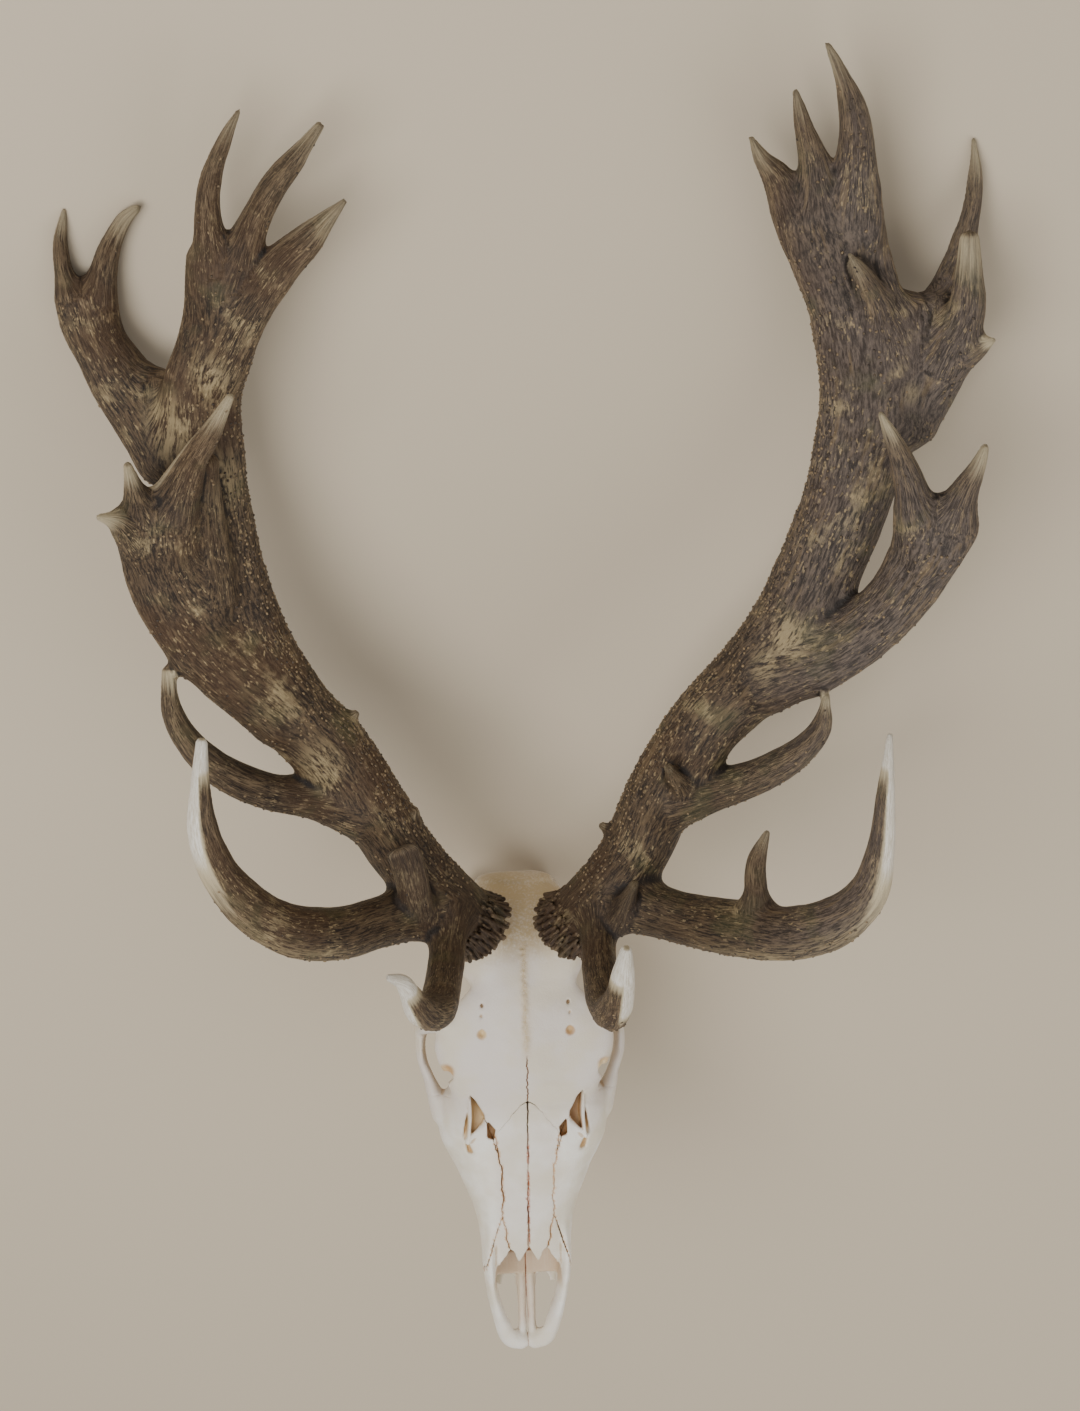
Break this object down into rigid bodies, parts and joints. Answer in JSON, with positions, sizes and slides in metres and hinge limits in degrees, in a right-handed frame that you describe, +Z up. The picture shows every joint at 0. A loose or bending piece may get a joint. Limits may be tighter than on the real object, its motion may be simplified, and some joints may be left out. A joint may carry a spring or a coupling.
{
  "type": "red deer stag skull with antlers",
  "caption": "Upper skull of a red deer stag with wide, branching, palmated antlers, lying on a floor on the back of its head and its antler crowns.",
  "frame": {"origin": "middle of the bounding box at floor level, z = 0", "axes": "+Z up, -Y towards the muzzle, +X to the animal's own left"},
  "size_m": [0.7026, 1.1724, 0.35],
  "materials": {
    "antler": "dark brown grained antler, ivory on the worn tine tips",
    "bone": "bleached dry bone, warmer and pitted over the braincase"
  },
  "bodies": {
    "root": {"left_lower_beam": "antler", "left_upper_beam": "antler", "left_inner_crown": "antler", "left_outer_crown": "antler", "left_middle_fork": "antler", "left_trez_tine": "antler", "left_bez_tine": "antler", "left_brow_tine": "antler", "right_lower_beam": "antler", "right_upper_beam": "antler", "right_inner_crown": "antler", "right_outer_crown": "antler", "right_middle_fork": "antler", "right_trez_tine": "antler", "right_bez_tine": "antler", "right_brow_tine": "antler", "cranium": "bone", "upper_jaw": "bone", "left_nasal": "bone", "right_nasal": "bone", "left_premaxilla": "bone", "right_premaxilla": "bone"}
  },
  "joints": []
}
